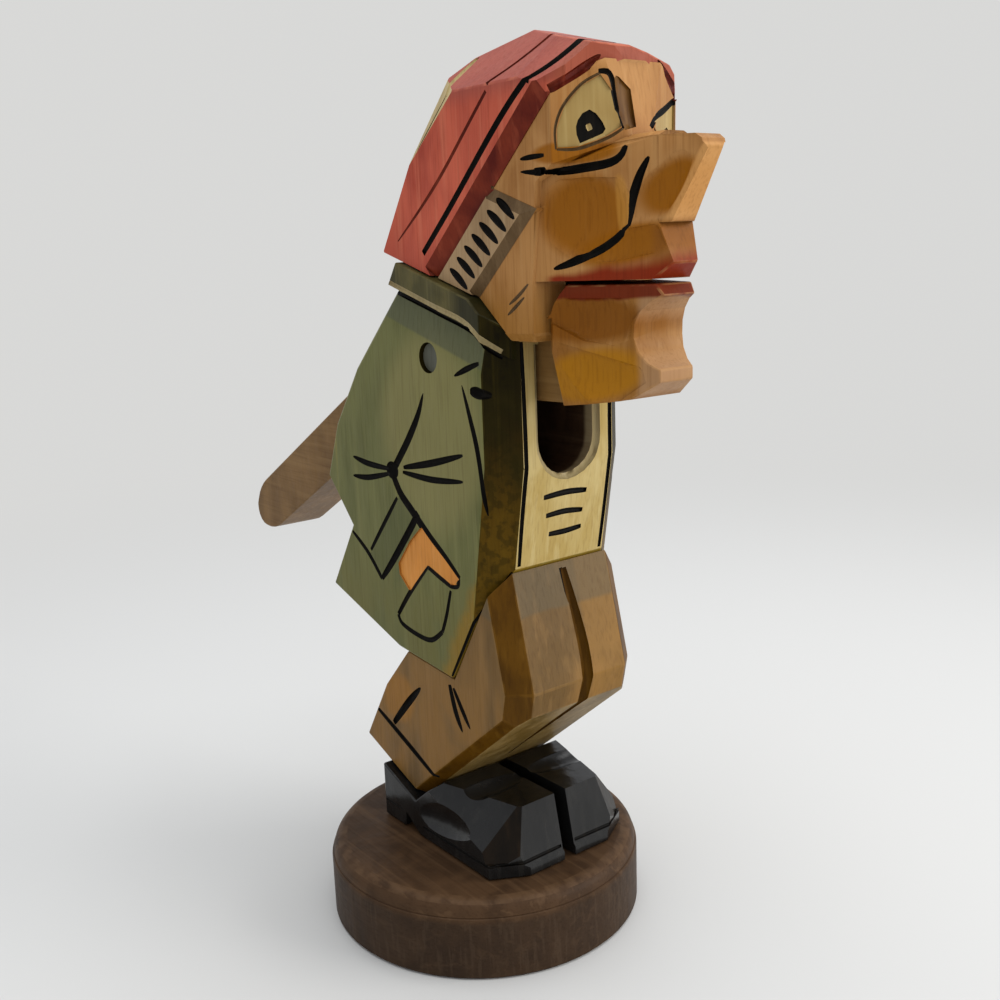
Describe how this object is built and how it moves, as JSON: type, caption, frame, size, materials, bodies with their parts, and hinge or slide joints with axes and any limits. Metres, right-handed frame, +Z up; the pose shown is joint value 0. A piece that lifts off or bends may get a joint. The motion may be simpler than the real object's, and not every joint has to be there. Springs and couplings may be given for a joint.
{
  "type": "wooden lever nutcracker",
  "caption": "Carved and stained wooden nutcracker: a bent-kneed old man in a cap on a round base, whose lower jaw is the end of a lever through his back.",
  "frame": {"origin": "middle of the round base's underside, which stands on the table", "axes": "+Z up; the figure faces -Y and its left side is +X"},
  "size_m": [0.095, 0.2214, 0.2505],
  "materials": {
    "walnut": "dark stain, satin varnish",
    "shoe_black": "black, glossy varnish",
    "trouser_brown": "brown stain, satin varnish",
    "jacket_green": "olive stain, satin varnish",
    "face_ochre": "ochre and red stain, satin varnish",
    "lever_brown": "brown stain, satin varnish",
    "pivot_grey": "stained with the jacket",
    "dowel_beech": "bare",
    "screw_steel": "zinc plated"
  },
  "bodies": {
    "figure": {"base": "walnut", "base_screw_right": "screw_steel", "base_screw_left": "screw_steel", "shoe_right": "shoe_black", "shoe_left": "shoe_black", "ankle_dowel_right": "dowel_beech", "ankle_dowel_left": "dowel_beech", "trousers": "trouser_brown", "waist_dowel_right": "dowel_beech", "waist_dowel_left": "dowel_beech", "jacket": "jacket_green", "neck_dowel_right": "dowel_beech", "neck_dowel_left": "dowel_beech", "head": "face_ochre", "pivot_dowel": "pivot_grey"},
    "lever": {"jaw_lever": "lever_brown"}
  },
  "joints": [
    {"name": "jaw_hinge", "type": "hinge", "parent": "figure", "child": "lever", "pos_m": [0.005, -0.0085, 0.1702], "axis": [1, 0, 0], "range_deg": [0, 23]}
  ]
}
